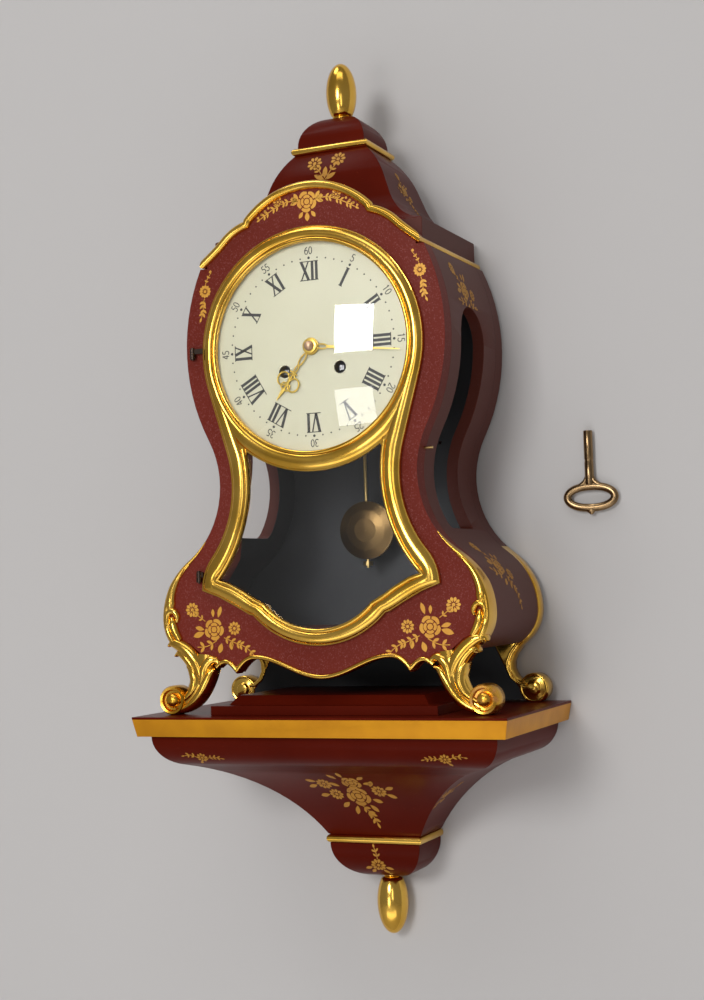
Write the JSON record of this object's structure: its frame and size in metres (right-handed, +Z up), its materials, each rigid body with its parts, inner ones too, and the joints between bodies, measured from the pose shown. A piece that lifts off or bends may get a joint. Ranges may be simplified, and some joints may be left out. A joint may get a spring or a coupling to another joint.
{
  "type": "wall console clock",
  "caption": "Waisted case clock in red lacquer and gilding on its wall console, with glazed door, domed dial and pendulum movement.",
  "frame": {"origin": "centre of the hanger hole at the back of the console, on the wall plane", "axes": "+Z up, +X to the right seen from the front, the clock faces -Y and the wall is at y = 0"},
  "size_m": [0.3001, 0.1366, 0.6007],
  "materials": {
    "lacquer": "gloss lacquer",
    "oxblood_front": "satin lacquer with a fine speckle",
    "case_sides": "satin lacquer",
    "leaf_gilt": "leaf gilding over red clay",
    "gilt": "satin gilding",
    "gilt_hands": "satin gilding",
    "brass": "satin",
    "steel": "satin",
    "dial_enamel": "fired enamel look",
    "glass": "clear",
    "bell_bronze": "polished"
  },
  "bodies": {
    "console": {"bracket_top_board": "lacquer", "bracket_cornice": "gilt", "bracket_steps": "lacquer", "bracket_body": "lacquer", "bracket_bead": "gilt", "bracket_lower_block": "lacquer", "bracket_finial": "leaf_gilt", "bracket_hanger": "brass", "hanger_screws": "steel"},
    "case": {"front_panel": "oxblood_front", "side_panel_left": "case_sides", "side_panel_right": "case_sides", "back_board": "case_sides", "back_cover": "brass", "case_screws": "steel", "base_board": "case_sides", "hood_plinth": "case_sides", "crest_beads": "gilt", "front_feet": "leaf_gilt", "back_feet": "leaf_gilt", "hood_roof": "lacquer", "hood_bead": "gilt", "hood_cap": "lacquer", "top_finial": "leaf_gilt", "case_hinge_leaves": "brass", "hinge_pins": "steel", "dial_plate": "dial_enamel", "movement_plates": "brass", "movement_pillars": "brass", "movement_straps": "brass", "suspension_cock": "brass", "bell": "bell_bronze"},
    "door": {"door_frame": "gilt", "dial_glass": "glass", "pendulum_glass": "glass", "door_hinge_leaves": "brass", "door_catch": "brass"},
    "latch": {"door_latch_pin": "brass"},
    "centre_arbor": {"centre_wheel": "brass", "minute_hand": "gilt_hands", "hand_nut": "gilt_hands"},
    "hour_pipe": {"hour_hand": "gilt_hands"},
    "minute_wheel": {"motion_wheel": "brass"},
    "second_arbor": {"time_second_wheel": "brass"},
    "time_drum": {"time_barrel": "brass"},
    "time_square": {"time_winding_arbor": "steel"},
    "time_pawl": {"time_click": "steel"},
    "third_arbor": {"third_wheel": "brass"},
    "escape_arbor": {"escape_wheel": "brass"},
    "anchor": {"pallet_anchor": "steel"},
    "pendulum": {"pendulum_rod": "brass", "pendulum_bob": "brass"},
    "strike_drum": {"strike_barrel": "brass"},
    "strike_square": {"strike_winding_arbor": "steel"},
    "strike_pawl": {"strike_click": "steel"},
    "strike_second_arbor": {"strike_second_wheel": "brass"},
    "pin_arbor": {"pin_wheel": "brass"},
    "fly": {"strike_fly": "steel"},
    "hammer": {"strike_hammer": "steel"},
    "key": {"winding_key": "brass"}
  },
  "joints": [
    {"name": "case_lift", "type": "slide", "parent": "console", "child": "case", "axis": [0, 0, 1], "range_m": [0, 0.00015]},
    {"name": "door_swing", "type": "hinge", "parent": "case", "child": "door", "pos_m": [-0.0866, -0.1186, 0.262], "axis": [0, 0, -1], "range_deg": [0, 110]},
    {"name": "latch_push", "type": "slide", "parent": "case", "child": "latch", "axis": [-1, 0, 0], "range_m": [0, 0.0015], "stiffness_N_per_m": 150},
    {"name": "minute_turn", "type": "hinge", "parent": "case", "child": "centre_arbor", "pos_m": [0, -0.083, 0.262], "axis": [0, 1, 0], "continuous": true},
    {"name": "hour_turn", "type": "hinge", "parent": "case", "child": "hour_pipe", "pos_m": [0, -0.083, 0.262], "axis": [0, 1, 0], "continuous": true},
    {"name": "minute_wheel_turn", "type": "hinge", "parent": "case", "child": "minute_wheel", "pos_m": [0, -0.083, 0.274], "axis": [0, 1, 0], "continuous": true},
    {"name": "second_turn", "type": "hinge", "parent": "case", "child": "second_arbor", "pos_m": [0.01669, -0.083, 0.26728], "axis": [0, 1, 0], "continuous": true},
    {"name": "time_drum_turn", "type": "hinge", "parent": "case", "child": "time_drum", "pos_m": [0.0197, -0.083, 0.2471], "axis": [0, 1, 0], "continuous": true},
    {"name": "third_turn", "type": "hinge", "parent": "case", "child": "third_arbor", "pos_m": [-0.00769, -0.083, 0.27646], "axis": [0, 1, 0], "continuous": true},
    {"name": "escape_turn", "type": "hinge", "parent": "case", "child": "escape_arbor", "pos_m": [0, -0.083, 0.28948], "axis": [0, 1, 0], "continuous": true},
    {"name": "time_winding", "type": "hinge", "parent": "case", "child": "time_square", "pos_m": [0.0197, -0.083, 0.2471], "axis": [0, 1, 0], "continuous": true},
    {"name": "time_click_lift", "type": "hinge", "parent": "case", "child": "time_pawl", "pos_m": [0.0237, -0.083, 0.2607], "axis": [0, 1, 0], "range_deg": [0, 15], "stiffness_Nm_per_rad": 0.0002},
    {"name": "pendulum_swing", "type": "hinge", "parent": "case", "child": "pendulum", "pos_m": [0, -0.083, 0.302], "axis": [0, 1, 0], "range_deg": [-5, 5]},
    {"name": "anchor_rock", "type": "hinge", "parent": "case", "child": "anchor", "pos_m": [0, -0.083, 0.302], "axis": [0, 1, 0], "range_deg": [-5.5, 5.5]},
    {"name": "pin_wheel_turn", "type": "hinge", "parent": "case", "child": "pin_arbor", "pos_m": [-0.03049, -0.083, 0.27975], "axis": [0, 1, 0], "continuous": true},
    {"name": "strike_second_turn", "type": "hinge", "parent": "case", "child": "strike_second_arbor", "pos_m": [-0.02324, -0.083, 0.26719], "axis": [0, 1, 0], "continuous": true},
    {"name": "strike_drum_turn", "type": "hinge", "parent": "case", "child": "strike_drum", "pos_m": [-0.0197, -0.083, 0.2471], "axis": [0, 1, 0], "continuous": true},
    {"name": "fly_turn", "type": "hinge", "parent": "case", "child": "fly", "pos_m": [-0.0268, -0.083, 0.2899], "axis": [0, 1, 0], "continuous": true},
    {"name": "strike_winding", "type": "hinge", "parent": "case", "child": "strike_square", "pos_m": [-0.0197, -0.083, 0.2471], "axis": [0, 1, 0], "continuous": true},
    {"name": "strike_click_lift", "type": "hinge", "parent": "case", "child": "strike_pawl", "pos_m": [-0.0237, -0.083, 0.2607], "axis": [0, 1, 0], "range_deg": [-15, 0], "stiffness_Nm_per_rad": 0.0002},
    {"name": "hammer_swing", "type": "hinge", "parent": "case", "child": "hammer", "pos_m": [-0.0386, -0.083, 0.254], "axis": [0, 1, 0], "range_deg": [0, 8], "stiffness_Nm_per_rad": 0.002, "springref_deg": -11.46},
    {"name": "key_pull", "type": "slide", "parent": "console", "child": "key", "axis": [0, -1, 0], "range_m": [0, 0.00015]}
  ],
  "couplings": [
    {"joint": "hour_turn", "follows": "minute_turn", "ratio": 0.083333},
    {"joint": "minute_wheel_turn", "follows": "minute_turn", "ratio": -0.33333},
    {"joint": "second_turn", "follows": "minute_turn", "ratio": -0.16667},
    {"joint": "time_drum_turn", "follows": "minute_turn", "ratio": 0.028736},
    {"joint": "third_turn", "follows": "minute_turn", "ratio": -12},
    {"joint": "escape_turn", "follows": "minute_turn", "ratio": 156},
    {"joint": "anchor_rock", "follows": "pendulum_swing", "ratio": 1},
    {"joint": "strike_second_turn", "follows": "pin_wheel_turn", "ratio": -0.16},
    {"joint": "strike_drum_turn", "follows": "pin_wheel_turn", "ratio": 0.027586},
    {"joint": "fly_turn", "follows": "pin_wheel_turn", "ratio": -8}
  ]
}
